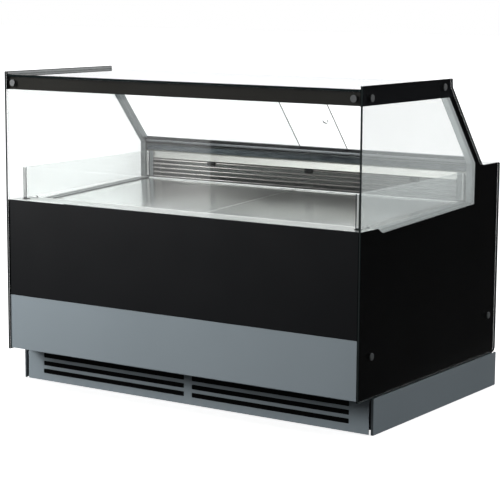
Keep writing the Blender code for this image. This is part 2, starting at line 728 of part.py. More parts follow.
def main():
    clear_scene()
    for side_name, side in SIDES.items():
        end_glass(side_name, side)
        end_caps(side_name, side)
        inner_glass(side_name, side)
        rear_post(side_name, side)
        deck_plate(side_name, side)
        deck_trim(side_name, side)
        plinth_side(side_name, side)
    front_caps()
    roof_glass()
    front_glass()
    header_beam()
    led_lamp()
    rear_rail()
    rear_track()
    rear_panes()
    front_panel()
    front_band()
    front_channel()
    deck_bearer()
    duct_cover()
    insulated_tub()
    worktop()
    rear_panel()
    rear_grille()
    power_inlet()
    plinth_front()
    chassis()
    feet()
    thermostat()
    buttons()
    rockers()
    compressor()
    condenser_coil()
    condenser_shroud()
    evaporator_coil()
    fans()
    condensate_tray()


main()
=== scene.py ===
"""Refrigerated serve-over display counter: finishes, printed glass, fittings and a plain studio.

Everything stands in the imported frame, in metres: +X is to the customer's right, +Y back to the operator,
+Z up. Outlines across the counter are (depth, height), with depth measured back from the front edge of
the end glasses. Pieces are built in place, so every object stays at the origin.
"""
import json
import math

import bmesh
import bpy
from mathutils import Matrix, Vector

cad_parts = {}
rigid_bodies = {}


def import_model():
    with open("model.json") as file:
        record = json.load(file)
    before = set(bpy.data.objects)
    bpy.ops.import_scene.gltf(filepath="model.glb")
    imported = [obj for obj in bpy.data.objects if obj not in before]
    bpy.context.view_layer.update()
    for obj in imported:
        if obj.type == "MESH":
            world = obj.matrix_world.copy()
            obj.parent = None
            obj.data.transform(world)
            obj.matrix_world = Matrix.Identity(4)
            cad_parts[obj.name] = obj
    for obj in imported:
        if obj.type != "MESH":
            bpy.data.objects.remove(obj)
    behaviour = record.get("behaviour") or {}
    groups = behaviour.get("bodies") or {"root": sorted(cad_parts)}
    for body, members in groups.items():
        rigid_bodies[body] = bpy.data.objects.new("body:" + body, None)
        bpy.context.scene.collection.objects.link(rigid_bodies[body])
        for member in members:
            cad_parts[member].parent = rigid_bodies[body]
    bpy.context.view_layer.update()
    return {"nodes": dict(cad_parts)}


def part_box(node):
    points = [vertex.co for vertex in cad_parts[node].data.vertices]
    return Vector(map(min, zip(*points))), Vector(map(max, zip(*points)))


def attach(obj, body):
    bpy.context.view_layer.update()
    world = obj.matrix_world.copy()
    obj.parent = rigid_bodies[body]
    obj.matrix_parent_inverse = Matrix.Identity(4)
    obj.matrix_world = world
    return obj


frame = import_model()
nodes = frame["nodes"]

GAP = 0.0003
SIDES = {"left": -1, "right": 1}
GLASS_LOW, GLASS_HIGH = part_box("side_glass_right")
FRONT = GLASS_LOW.y                     # Y of depth 0
HALF = GLASS_HIGH.x                     # outer faces of the end glasses
INSIDE = GLASS_LOW.x                    # inner faces of the end glasses
TOP = GLASS_HIGH.z
SLOPE_FOOT = Vector((0.8285, 0.867))
SLOPE_UP = Vector((-0.651, 0.759)).normalized()     # (depth, height) along the rear slope
SLOPE_OUT = Vector((SLOPE_UP.y, -SLOPE_UP.x))


# --- node materials ----------------------------------------------------------------------------------

class Shader:
    """Builds one node material."""

    def __init__(self, name):
        self.material = bpy.data.materials.new(name)
        self.material.use_nodes = True
        self.tree = self.material.node_tree
        self.tree.nodes.clear()
        self.output = self.node("OutputMaterial")
        self.coords = self.node("TexCoord")

    def node(self, kind, inputs=None, **settings):
        made = self.tree.nodes.new(f"ShaderNode{kind}")
        for key, value in settings.items():
            setattr(made, key, value)
        for key, value in (inputs or {}).items():
            self.feed(made.inputs[key], value)
        return made

    def feed(self, socket, value):
        if isinstance(value, bpy.types.NodeSocket):
            self.tree.links.new(value, socket)
        else:
            socket.default_value = value

    def place(self, stretch=(1, 1, 1)):
        """Object coordinates, multiplied by a stretch along each axis."""
        return self.node("Mapping", {"Vector": self.coords.outputs["Object"], "Scale": stretch}).outputs[0]

    def noise(self, scale, detail=2.0, stretch=(1, 1, 1), roughness=0.5):
        """Noise between 0 and 1."""
        return self.node("TexNoise", {"Vector": self.place(stretch), "Scale": scale, "Detail": detail,
                                      "Roughness": roughness}).outputs["Fac"]

    def sum(self, kind, *values, clamp=False):
        """Result of a Math node of some kind."""
        made = self.node("Math", operation=kind, use_clamp=clamp)
        for socket, value in zip(made.inputs, values):
            self.feed(socket, value)
        return made.outputs[0]

    def spread(self, value, low, high, start=0.3, end=0.7):
        """A value between start and end, spread out to low and high."""
        return self.node("MapRange", {"Value": value, "From Min": start, "From Max": end,
                                      "To Min": low, "To Max": high}).outputs["Result"]

    def tint(self, factor, *stops):
        """Colour ramp with (position, colour) stops."""
        made = self.node("ValToRGB", {"Fac": factor})
        elements = made.color_ramp.elements
        while len(elements) < len(stops):
            elements.new(0.5)
        for element, (position, colour) in zip(elements, stops):
            element.position = position
            element.color = (*colour, 1.0)
        return made.outputs["Color"]

    def blend(self, factor, first, second):
        """The first colour at factor 0 and the second at factor 1."""
        made = self.node("Mix", {"Factor": factor}, data_type="RGBA")
        self.feed(made.inputs["A"], first)
        self.feed(made.inputs["B"], second)
        return made.outputs["Result"]

    def bump(self, height, strength, distance=0.001, normal=None):
        made = self.node("Bump", {"Height": height, "Strength": strength, "Distance": distance})
        if normal is not None:
            self.feed(made.inputs["Normal"], normal)
        return made.outputs["Normal"]

    def axis(self, source, name):
        """One component of an object-space position or normal."""
        split = self.node("SeparateXYZ", {"Vector": self.coords.outputs[source]})
        return split.outputs[name]

    def mix(self, factor, first, second):
        """The first shader at factor 0 and the second at factor 1."""
        made = self.node("MixShader", {"Fac": factor})
        self.feed(made.inputs[1], first)
        self.feed(made.inputs[2], second)
        return made.outputs[0]

    def principled(self, **inputs):
        """A Principled shader; underscores stand for the spaces in its socket names."""
        named = {key.replace("_", " "): value for key, value in inputs.items()}
        return self.node("BsdfPrincipled", named).outputs[0]

    def done(self, surface):
        self.feed(self.output.inputs["Surface"], surface)
        return self.material


def painted(name, colour, spread=0.06, roughness=0.4, metallic=0.0, orange_peel=0.06, shine=0.5):
    """Baked paint: faint cloudy tone, fine orange peel."""
    s = Shader(name)
    dark = tuple(c * (1 - spread) for c in colour)
    light = tuple(c * (1 + spread) for c in colour)
    cloud = s.noise(2.2, 3.0)
    peel = s.noise(900, 1.5)
    return s.done(s.principled(
        Base_Color=s.tint(cloud, (0.3, dark), (0.7, light)),
        Roughness=s.spread(s.noise(7, 2.0), roughness - 0.01, roughness + 0.01),
        Metallic=metallic,
        Specular_IOR_Level=shine,
        Normal=s.bump(peel, orange_peel, 0.0004)))


def brushed(name, colour, roughness=0.28, grain=(3, 700, 700), waves=0.0, spread=0.05, scratch=0.05,
            metallic=1.0):
    """Rolled metal: fine grain drawn along one axis, with the sheet's slight waviness."""
    s = Shader(name)
    dark = tuple(c * (1 - spread) for c in colour)
    light = tuple(min(c * (1 + spread), 1) for c in colour)
    lines = s.noise(1.0, 3.0, grain, 0.6)
    cloud = s.noise(3.0, 2.0)
    tone = s.sum("ADD", s.sum("MULTIPLY", lines, 0.55), s.sum("MULTIPLY", cloud, 0.45))
    normal = s.bump(lines, scratch, 0.0003)
    if waves:
        normal = s.bump(s.noise(2.6, 1.0, (1, 1.4, 1)), waves, 0.02, normal)
    return s.done(s.principled(
        Base_Color=s.tint(tone, (0.35, dark), (0.65, light)),
        Roughness=s.spread(tone, roughness - 0.05, roughness + 0.06, 0.35, 0.65),
        Metallic=metallic,
        Normal=normal))


# the bright strip above this height is a painted sheen on the duct cover's sloped top
STRIP_FOOT = 0.8005                     # height where the duct cover's bright strip begins


def louvred(name):
    """Duct cover: a darker face, and along its top a bright satin strip, a painted sheen from the light
    above.
    """
    s = Shader(name)
    lines = s.noise(1.0, 3.0, (3, 500, 500), 0.6)
    above = s.sum("GREATER_THAN", s.axis("Object", "Z"), STRIP_FOOT)
    # painted sheen: the strip above STRIP_FOOT gets a far lighter colour than the face below
    face = s.tint(lines, (0.35, (0.115, 0.110, 0.102)), (0.65, (0.155, 0.148, 0.138)))
    strip = s.tint(lines, (0.35, (0.52, 0.53, 0.50)), (0.65, (0.60, 0.61, 0.58)))
    return s.done(s.principled(
        Base_Color=s.blend(above, face, strip),
        Roughness=s.spread(lines, 0.36, 0.46),
        Metallic=s.spread(above, 1.0, 0.55, 0.0, 1.0),
        Normal=s.bump(lines, 0.05, 0.0003)))


def shelf(name):
    """Worktop: brushed steel on top and a mottled slate-grey front edge, a painted reflection of the dark
    cold space it faces.
    """
    s = Shader(name)
    lines = s.noise(1.0, 3.0, (3, 600, 600), 0.6)
    blotch = s.noise(26, 4.0, (0.5, 1, 2.2), 0.65)
    front = s.sum("LESS_THAN", s.axis("Normal", "Y"), -0.5)
    steel = s.tint(lines, (0.35, (0.62, 0.64, 0.62)), (0.65, (0.70, 0.72, 0.70)))
    # painted reflection: the front edge's dark mottled grey stands in for what the steel mirrors
    slate = s.tint(blotch, (0.38, (0.12, 0.14, 0.16)), (0.64, (0.24, 0.27, 0.29)))
    return s.done(s.principled(
        Base_Color=s.blend(front, steel, slate),
        Roughness=s.spread(blotch, 0.28, 0.40),
        Metallic=1.0,
        Normal=s.bump(lines, 0.05, 0.0003)))


def moulded(name, colour, roughness=0.45, spread=0.10):
    """Moulded plastic with a fine spark-eroded texture."""
    s = Shader(name)
    dark = tuple(c * (1 - spread) for c in colour)
    light = tuple(c * (1 + spread) for c in colour)
    return s.done(s.principled(
        Base_Color=s.tint(s.noise(60, 2.0), (0.35, dark), (0.65, light)),
        Roughness=s.spread(s.noise(160, 1.0), roughness - 0.05, roughness + 0.06),
        Normal=s.bump(s.noise(2600, 1.0), 0.10, 0.0002)))


def spangled(name, colour):
    """Galvanised sheet: crystals of slightly different greys."""
    s = Shader(name)
    cells = s.node("TexVoronoi", {"Vector": s.place(), "Scale": 55.0, "Randomness": 1.0})
    tone = s.node("RGBToBW", {"Color": cells.outputs["Color"]}).outputs[0]
    dark = tuple(c * 0.78 for c in colour)
    return s.done(s.principled(
        Base_Color=s.tint(tone, (0.1, dark), (0.9, colour)),
        Roughness=s.spread(tone, 0.34, 0.52, 0.1, 0.9),
        Metallic=1.0,
        Normal=s.bump(s.noise(120, 2.0), 0.05, 0.0005)))


def finned(name, colour):
    """Thin upright fins across X: bright edges, with painted shade in the gaps between them."""
    s = Shader(name)
    pitch = 0.0028
    wave = s.node("TexWave", {"Vector": s.place(), "Scale": 2 * math.pi / pitch / 20, "Distortion": 0.15,
                              "Detail": 1.0, "Detail Scale": 2.0}, wave_type="BANDS", bands_direction="X")
    # painted shade in the gaps between the fins
    dark = tuple(c * 0.10 for c in colour)
    return s.done(s.principled(
        Base_Color=s.tint(wave.outputs["Fac"], (0.25, dark), (0.75, colour)),
        Roughness=s.spread(s.noise(14, 2.0), 0.32, 0.46),
        Metallic=0.9,
        Normal=s.bump(wave.outputs["Fac"], 0.5, 0.001)))


EDGE_DARK = (0.022, 0.034, 0.035)
# colour of the painted highlights on glass edges
EDGE_HIGHLIGHT = (0.62, 0.68, 0.68)


def glass(name, thickness_axis, highlight_core=None, clear_left_of=None, holes_at=None, highlit_top=False):
    """Float glass: clear faces that mirror more at a glancing angle, and deep green ground edges.

    core is (x of the sheet's middle, height): along the middle of its edges runs a lighter line, a painted
    highlight, brighter above that height, where the edge looks at the light. An edge left of clear_left_of is
    polished clear, and so are the upper halves of finger holes at a height up the slope of holes_at.
    highlit_top paints a highlight on the edge faces that look up.
    """
    s = Shader(name)
    facing = s.node("LayerWeight", {"Blend": 0.5}).outputs["Facing"]
    schlick = s.sum("MULTIPLY", s.sum("POWER", facing, 5.0), 0.96)
    mirror = s.sum("ADD", schlick, s.spread(s.noise(5, 2.0), 0.038, 0.046), clamp=True)
    polish = s.spread(s.noise(9, 3.0), 0.004, 0.02)
    shine = s.node("BsdfGlossy", {"Color": (1, 1, 1, 1), "Roughness": polish})
    clear = s.node("BsdfTransparent", {"Color": (0.994, 0.998, 0.996, 1)}).outputs[0]
    face = s.mix(mirror, clear, shine.outputs[0])
    spot = [s.axis("Object", axis) for axis in "XYZ"]
    normal = [s.axis("Normal", axis) for axis in "XYZ"]
    streak = s.noise(1.0, 2.0, (420, 420, 3))

    def streaked(colour, low, high):
        """The edge's streaks, between two shares of a colour."""
        return s.tint(streak, (0.38, tuple(c * low for c in colour)), (0.62, tuple(c * high for c in colour)))

    tone = streaked(EDGE_DARK, 1.0, 1.9)
    # painted highlight: a lighter line along the middle of the front edge and of the edges above the height
    if highlight_core is not None:
        middle, height = highlight_core
        off = s.sum("ABSOLUTE", s.sum("SUBTRACT", s.sum("ABSOLUTE", spot[0]), middle))
        front = s.sum("LESS_THAN", spot[1], FRONT + 0.002)
        upper = s.sum("GREATER_THAN", spot[2], height)
        inner = s.sum("MULTIPLY", s.spread(off, 1.0, 0.0, 0.0006, 0.0018), s.sum("MAXIMUM", front, upper))
        light = s.blend(upper, streaked(EDGE_HIGHLIGHT, 0.18, 0.25), streaked(EDGE_HIGHLIGHT, 0.8, 1.0))
        tone = s.blend(inner, tone, light)
    # painted highlight on the edge faces that look up
    if highlit_top:
        tone = s.blend(s.sum("GREATER_THAN", normal[2], 0.7), tone, streaked(EDGE_HIGHLIGHT, 0.8, 1.0))
    edge = s.principled(Base_Color=tone, Roughness=s.spread(streak, 0.10, 0.22), IOR=1.52,
                        Specular_IOR_Level=0.1)
    if clear_left_of is not None:
        polished = s.sum("LESS_THAN", spot[0], clear_left_of)
        if holes_at is not None:
            depth = s.sum("SUBTRACT", spot[1], FRONT + SLOPE_FOOT[0])
            height = s.sum("SUBTRACT", spot[2], SLOPE_FOOT[1])
            rise = s.sum("MULTIPLY_ADD", height, SLOPE_UP[1], s.sum("MULTIPLY", depth, SLOPE_UP[0]))
            upper = s.sum("GREATER_THAN", rise, holes_at)
            wall = s.sum("LESS_THAN", s.sum("ABSOLUTE", normal[0]), 0.97)
            polished = s.sum("MAXIMUM", polished, s.sum("MULTIPLY", upper, wall))
        edge = s.mix(s.sum("MULTIPLY", polished, 0.88), edge, clear)
    if thickness_axis == "slope":           # panes that lean on the rear slope
        tilted = s.sum("MULTIPLY", normal[1], SLOPE_OUT[0])
        across = s.sum("ABSOLUTE", s.sum("MULTIPLY_ADD", normal[2], SLOPE_OUT[1], tilted))
    else:
        across = s.sum("ABSOLUTE", normal["XYZ".index(thickness_axis)])
    return s.done(s.mix(s.sum("LESS_THAN", across, 0.6), face, edge))


HEADER_FOOT = 1.118                     # height where the printed band along the top begins


def printed(name, colour, top):
    """Ceramic print fired on the back of glass: deep black, with a second colour in the band along the top.
    """
    s = Shader(name)
    dark = tuple(c * 0.7 for c in colour)
    light_top = tuple(c * 1.2 for c in top)
    # the band along the top: on the end glasses a lighter black, a painted sheen; the header print, all
    # within the band, takes its own brown-black there
    band = s.sum("GREATER_THAN", s.axis("Object", "Z"), HEADER_FOOT)
    cloud = s.noise(3.0, 4.0)
    return s.done(s.principled(
        Base_Color=s.blend(band, s.tint(cloud, (0.3, dark), (0.7, colour)),
                           s.tint(cloud, (0.3, top), (0.7, light_top))),
        Roughness=s.spread(s.noise(400, 2.0), 0.5, 0.7),
        Specular_IOR_Level=0.0))


def glare_veil(name, most):
    """Painted glare on glass: a pale veil standing in for reflected light, at most so thick, that thins out
    towards a square view.
    """
    s = Shader(name)
    facing = s.node("LayerWeight", {"Blend": 0.5}).outputs["Facing"]
    veil = s.sum("MULTIPLY_ADD", s.sum("POWER", facing, 2.0), 1.1, s.spread(s.noise(4, 2.0), 0.045, 0.055))
    pale = s.tint(s.noise(6, 2.0), (0.3, (0.90, 0.94, 0.94)), (0.7, (0.94, 0.98, 0.98)))
    sheen = s.node("BsdfDiffuse", {"Roughness": 0.4, "Color": pale})
    clear = s.node("BsdfTransparent", {"Color": (1, 1, 1, 1)}).outputs[0]
    return s.done(s.mix(s.sum("MINIMUM", veil, most), clear, sheen.outputs[0]))


def lens(name, colour, strength):
    """Opal lamp lens, brighter over each diode."""
    s = Shader(name)
    pitch = 0.0167
    beat = s.sum("SINE", s.sum("MULTIPLY", s.axis("Object", "X"), 2 * math.pi / pitch))
    glow = s.spread(beat, 0.82, 1.0, -1.0, 1.0)
    return s.done(s.principled(
        Base_Color=s.tint(s.noise(30, 1.0), (0.3, (0.86, 0.86, 0.82)), (0.7, (0.92, 0.92, 0.88))),
        Roughness=0.35,
        Emission_Color=(*colour, 1.0),
        Emission_Strength=s.sum("MULTIPLY", glow, strength)))


side_glass = glass("side_glass", "X", highlight_core=((HALF + INSIDE) / 2, TOP - 0.002))
front_glass = glass("front_glass", "Y", clear_left_of=-0.5)
roof_glass = glass("roof_glass", "Z")
low_glass = glass("low_glass", "X", highlit_top=True)
pane_glass = glass("pane_glass", "slope", clear_left_of=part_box("rear_pane_right")[0].x + 0.0012,
                   holes_at=0.165)
# the end glasses' second colour is the painted sheen on their band along the top
print_black = printed("print_black", (0.0012, 0.0014, 0.0017), (0.0155, 0.0160, 0.0185))
print_brown = printed("print_header", (0.036, 0.035, 0.031), (0.033, 0.032, 0.029))
# pale veils of painted glare on the end windows and on the low screens
window_glare = glare_veil("window_glare", 0.235)
screen_film = glare_veil("screen_film", 0.15)
black_paint = painted("black_paint", (0.0034, 0.0040, 0.0052), roughness=0.40, shine=0.22)
grey_paint = painted("grey_paint", (0.300, 0.352, 0.385), spread=0.03, roughness=0.42, metallic=0.15)
stainless = brushed("stainless", (0.66, 0.68, 0.66), roughness=0.30)
duct_steel = louvred("duct_steel")
lip_steel = brushed("lip_steel", (0.34, 0.33, 0.32), roughness=0.38, metallic=0.5, scratch=0.02)
# black of the sheets of painted shade behind the plinth slots
filter_black = moulded("filter_black", (0.004, 0.004, 0.004), roughness=0.9)
brush_grey = moulded("brush_grey", (0.155, 0.155, 0.165), roughness=0.8)
seal_grey = moulded("seal_grey", (0.55, 0.57, 0.57), roughness=0.5, spread=0.04)
seal_black = moulded("seal_black", (0.010, 0.010, 0.011), roughness=0.6)
bright_trim = brushed("bright_trim", (0.93, 0.95, 0.94), roughness=0.50, metallic=0.3, spread=0.02)
satin_trim = painted("satin_trim", (0.120, 0.138, 0.138), roughness=0.60, shine=0.12)
shelf_steel = shelf("shelf_steel")
deck_steel = brushed("deck_steel", (0.92, 0.94, 0.92), roughness=0.18, grain=(2, 420, 420), waves=0.04,
                     scratch=0.08, metallic=0.96)
aluminium = brushed("aluminium", (0.25, 0.265, 0.28), roughness=0.36, grain=(2, 500, 500))
post_metal = brushed("post_metal", (0.46, 0.49, 0.50), roughness=0.38, grain=(500, 6, 6))
tub_liner = brushed("tub_liner", (0.60, 0.61, 0.60), roughness=0.40, grain=(3, 300, 300))
fin_stock = finned("fin_stock", (0.62, 0.63, 0.62))
zinc = spangled("galvanised", (0.52, 0.54, 0.55))
cap_grey = moulded("cap_grey", (0.105, 0.112, 0.115), roughness=0.40)
dark_plastic = moulded("dark_plastic", (0.022, 0.023, 0.024))
button_plastic = moulded("button_plastic", (0.30, 0.31, 0.32), roughness=0.40)
rocker_plastic = moulded("rocker_plastic", (0.018, 0.018, 0.019), roughness=0.30)
lamp_lens = lens("lamp_lens", (1.0, 0.97, 0.92), 10.0)
lens_black = painted("lens_black", (0.006, 0.006, 0.007), roughness=0.12, orange_peel=0.0)
figure_glow = lens("figure_glow", (1.0, 0.16, 0.08), 3.0)
shell_black = painted("shell_black", (0.010, 0.010, 0.011), roughness=0.30, orange_peel=0.10)

FINISHES = {
    side_glass: ["side_glass_left", "side_glass_right"],
    front_glass: ["front_glass"],
    roof_glass: ["roof_glass"],
    low_glass: ["inner_glass_left", "inner_glass_right"],
    pane_glass: ["rear_pane_left", "rear_pane_right"],
    black_paint: ["front_panel", "header_beam"],
    grey_paint: ["front_band", "plinth_front", "plinth_side_left", "plinth_side_right", "rear_panel",
                 "rear_grille"],
    stainless: ["deck_bearer", "front_channel"],
    shelf_steel: ["worktop"],
    satin_trim: ["deck_trim_left", "deck_trim_right"],
    duct_steel: ["duct_cover"],
    deck_steel: ["deck_plate_left", "deck_plate_right"],
    aluminium: ["rear_rail", "rear_track"],
    post_metal: ["rear_post_left", "rear_post_right"],
    tub_liner: ["insulated_tub"],
    fin_stock: ["condenser_coil", "evaporator_coil"],
    zinc: ["chassis", "condenser_shroud", "condensate_tray"],
    dark_plastic: ["power_inlet", "thermostat", "condenser_fan", "evaporator_fan_left",
                   "evaporator_fan_right"]
                  + [f"foot_{end}_{side}" for end in ("front", "rear") for side in SIDES],
    button_plastic: ["button_set", "button_up", "button_down"],
    rocker_plastic: ["light_switch", "main_switch"],
    lamp_lens: ["led_lamp"],
    shell_black: ["compressor"],
    cap_grey: [f"front_cap_{side}" for side in SIDES]
              + [f"side_cap_{side}_{corner}" for side in SIDES
                 for corner in ("front_top", "rear_top", "front_low", "rear_low")],
}

for finish, names in FINISHES.items():
    for name in names:
        for slot in nodes[name].material_slots:
            slot.material = finish


EDGE_RADII = {
    0.0008: ["front_panel", "front_band", "deck_trim_left", "deck_trim_right", "rear_post_left",
             "rear_post_right"],
    0.0005: ["side_glass_left", "side_glass_right", "roof_glass", "front_glass", "thermostat"],
    0.0006: ["plinth_front", "plinth_side_left", "plinth_side_right", "deck_plate_left", "deck_plate_right",
             "front_channel", "worktop", "duct_cover", "rear_panel", "rear_grille"],
    0.0003: ["inner_glass_left", "inner_glass_right", "rear_track", "rear_rail", "rear_pane_left",
             "rear_pane_right", "button_set", "button_up", "button_down", "light_switch", "main_switch"],
}


# --- building in place -------------------------------------------------------------------------------

def at(x, depth, height):
    """The point at a depth behind the end glasses' front edge."""
    return Vector((x, FRONT + depth, height))


def on_slope(out, up):
    """(depth, height) of a point out from the rear slope and up along it."""
    return SLOPE_FOOT + SLOPE_OUT * out + SLOPE_UP * up


def place(axis, along, a, b):
    """A point at a distance along an axis and (a, b) across it."""
    if axis == "X":
        return at(along, a, b)
    if axis == "Y":
        return at(a, along, b)
    return at(a, b, along)


def add_prism(bm, outline, axis, start, end):
    """Extrude an outline of (a, b) points along an axis into a closed solid."""
    face = bm.faces.new([bm.verts.new(place(axis, start, a, b)) for a, b in outline])
    grown = bmesh.ops.extrude_face_region(bm, geom=[face])["geom"]
    step = place(axis, end, 0, 0) - place(axis, start, 0, 0)
    bmesh.ops.translate(bm, verts=[v for v in grown if isinstance(v, bmesh.types.BMVert)], vec=step)


def rectangle(low, high):
    """Outline of a rectangle between two corners."""
    return [(low[0], low[1]), (high[0], low[1]), (high[0], high[1]), (low[0], high[1])]


def rounded(corners, steps=5):
    """An outline from (a, b, radius) corners, each with a radius turned into an arc."""
    outline = []
    for i, (a, b, radius) in enumerate(corners):
        corner = Vector((a, b))
        if radius == 0:
            outline.append(corner)
            continue
        before = (Vector(corners[i - 1][:2]) - corner).normalized()
        after = (Vector(corners[(i + 1) % len(corners)][:2]) - corner).normalized()
        half = before.angle(after) / 2
        centre = corner + (before + after).normalized() * radius / math.sin(half)
        first = corner + before * radius / math.tan(half) - centre
        last = corner + after * radius / math.tan(half) - centre
        for step in range(steps + 1):
            outline.append(centre + first.slerp(last, step / steps).normalized() * radius)
    return outline


def piece(name, bm, surface, body, slot, bevel=0.0, smooth=False):
    """Turn a bmesh built in place into a piece that rides on a body."""
    bmesh.ops.recalc_face_normals(bm, faces=bm.faces)
    mesh = bpy.data.meshes.new(name)
    bm.to_mesh(mesh)
    bm.free()
    mesh.materials.append(surface)
    if smooth:
        mesh.shade_smooth()
        mesh.set_sharp_from_angle(angle=math.radians(35))
    obj = bpy.data.objects.new(name, mesh)
    bpy.context.collection.objects.link(obj)
    if bevel:
        soften(obj, bevel)
    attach(obj, body)
    return obj


def soften(obj, width, segments=2):
    """Round the sharp edges of a solid a little."""
    weld = obj.modifiers.new("weld", "WELD")
    weld.merge_threshold = 0.00001
    bevel = obj.modifiers.new("bevel", "BEVEL")
    bevel.width = width
    bevel.segments = segments
    bevel.limit_method = "ANGLE"
    bevel.angle_limit = math.radians(40)
    bevel.harden_normals = True


def prism(name, outline, axis, start, end, surface, body, slot, **options):
    bm = bmesh.new()
    add_prism(bm, outline, axis, start, end)
    return piece(name, bm, surface, body, slot, **options)


for radius, names in EDGE_RADII.items():
    for name in names:
        soften(nodes[name], radius)


# --- printed glass -----------------------------------------------------------------------------------

GLASS_REAR = 1.0305                     # depth of the end glasses' rear edge
PRINT_FOOT = 0.1326                     # height of the print's lower edge
WORKTOP = 0.856                         # height of the end glasses beside the worktop
WINDOW = [(0, 0.704), (0.127, 0.704), (0.161, 0.686), (0.840, 0.716), (0.8405, 0.867), (0.625, 1.117),
          (0, 1.117)]


def end_print(side_name, side):
    """Black print on the inner face of an end glass, open where the window is."""
    rim = 0.0002
    outline = rounded([
        (rim, PRINT_FOOT, 0),
        (GLASS_REAR - rim, PRINT_FOOT, 0.020),
        (GLASS_REAR - rim, WORKTOP - rim, 0.008),
        (0.886, WORKTOP - rim, 0.020),
        (0.633 - rim, 1.153, 0.006),
        (0.630 - rim, TOP - rim, 0.002),
        (rim, TOP - rim, 0),
    ])
    outline += [Vector((max(depth, rim), height)) for depth, height in WINDOW[::-1]]
    edges = sorted((side * (INSIDE - 0.0012), side * (INSIDE - GAP)))
    prism(f"end_print_{side_name}", outline, "X", *edges, print_black, "cabinet", "printed_glass")


def header_print():
    """Black band along the top of the front glass, on its inner face."""
    low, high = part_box("front_glass")
    depth = high.y - FRONT + 0.0002
    bm = bmesh.new()
    add_prism(bm, rectangle((low.x + 0.0005, HEADER_FOOT), (high.x - 0.0005, high.z - 0.0003)), "Y",
              depth, depth + 0.0004)
    piece("header_print", bm, print_brown, "front_window", "printed_glass")


def end_window(side_name, side):
    """Pale veil of painted glare over the clear part of an end glass, on its inner face."""
    rim = 0.0006
    outline = [(max(a, rim), b) for a, b in WINDOW]
    edges = sorted((side * (INSIDE - 0.0008), side * (INSIDE - 0.0004)))
    prism(f"end_window_{side_name}", outline, "X", *edges, window_glare, "cabinet", "clear_glass")


def roof_bead(side_name, side):
    """Glazing bead along an end glass, in the corner above the roof glass."""
    roof_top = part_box("roof_glass")[1].z
    edges = sorted((side * (INSIDE - 0.0034), side * (INSIDE - 0.0014)))
    outline = rectangle((0.006, roof_top + GAP), (0.6285, TOP - 0.0028))
    prism(f"roof_bead_{side_name}", outline, "X", *edges, seal_grey, "cabinet", "aluminium", bevel=0.0006)


for side_name, side in SIDES.items():
    end_print(side_name, side)
    end_window(side_name, side)
    roof_bead(side_name, side)
header_print()


# --- inside the display ------------------------------------------------------------------------------

DUCT_FACE = 0.8285
LOUVRES, LOUVRE_FOOT, LOUVRE_PITCH = 4, 0.731, 0.017


def louvre_lips():
    """Rolled lip under each slot of the duct cover, and over the top one."""
    radius, flatness, steps, half = 0.0032, 0.7, 8, 0.698
    for row in range(LOUVRES + 1):
        depth = DUCT_FACE - 0.0004
        height = LOUVRE_FOOT + row * LOUVRE_PITCH - 0.0034
        turns = [math.pi * i / steps for i in range(steps + 1)]
        outline = [(depth - flatness * radius * math.sin(turn), height - radius * math.cos(turn))
                   for turn in turns]
        prism(f"louvre_lip_{row}", outline, "X", -half, half, lip_steel, "cabinet", "stainless", smooth=True)


def duct_cheeks():
    """Ribbed end strip beside the louvres, from the deck to the top of the cover."""
    rear, face, rib, rib_half = 0.8232, 0.8200, 0.8188, 0.0008
    near, far = 0.6985, 0.7155
    foot, head = 0.7270, 0.8300
    middle = (near + far) / 2
    for side_name, side in SIDES.items():
        outline = [(near, rear), (near, face), (middle - rib_half, face), (middle - rib_half, rib),
                   (middle + rib_half, rib), (middle + rib_half, face), (far, face), (far, rear)]
        prism(f"duct_cheek_{side_name}", [(side * x, depth) for x, depth in outline], "Z", foot, head,
              post_metal, "cabinet", "stainless", bevel=0.0003)


def screen_spacers():
    """White spacer bars between the panes of the low end screens, the veil of painted glare on them and their
    front feet.
    """
    pane, depth, rim = 0.0043, 0.007, 0.0004
    for side_name, side in SIDES.items():
        low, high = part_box(f"inner_glass_{side_name}")
        near, far = sorted((abs(low.x), abs(high.x)))
        front, rear = low.y - FRONT, high.y - FRONT
        between = sorted((side * (near + pane), side * (far - pane)))
        bars = {"front": rectangle((front + rim, 0.7120), (front + depth, 0.8235)),
                "rear": rectangle((rear - depth, 0.7290), (rear - rim, 0.8292))}
        for end, outline in bars.items():
            prism(f"screen_spacer_{end}_{side_name}", outline, "X", *between, bright_trim, "cabinet",
                  "aluminium", bevel=0.0004)
        # the veil of painted glare on the screen's inner pane
        glare_span = sorted((side * (near + pane), side * (near + pane + 0.0004)))
        start, end = front + depth + 0.001, rear - 0.053
        outline = [(start, 0.7125), (end, 0.7310), (end, 0.8280), (start, 0.8225)]
        prism(f"screen_film_{side_name}", outline, "X", *glare_span, screen_film, "cabinet", "clear_glass")
        boot = sorted((side * (near - 0.002), side * (far + 0.002)))
        prism(f"screen_boot_{side_name}", rectangle((front - 0.004, 0.7043), (front + 0.016, 0.7072)), "X",
              *boot, seal_black, "cabinet", "dark_plastic", bevel=0.0006)


def strip_clips():
    """Small dark clips under the bright strip."""
    half, back = 0.018, DUCT_FACE - GAP - 0.0024
    outline = rounded([(DUCT_FACE - 0.0045, 0.7850, 0), (back, 0.7850, 0), (back, 0.7985, 0),
                       (DUCT_FACE - 0.0092, 0.8025, 0.0008), (DUCT_FACE - 0.0098, 0.7880, 0.0015)], steps=3)
    for number, x in enumerate((-0.407, 0.056, 0.519)):
        prism(f"strip_clip_{number}", outline, "X", x - half, x + half, dark_plastic, "cabinet",
              "dark_plastic", bevel=0.0006)


DECK_FRONT = (0.150, 0.688)
DECK_REAR = (0.8165, 0.7190)


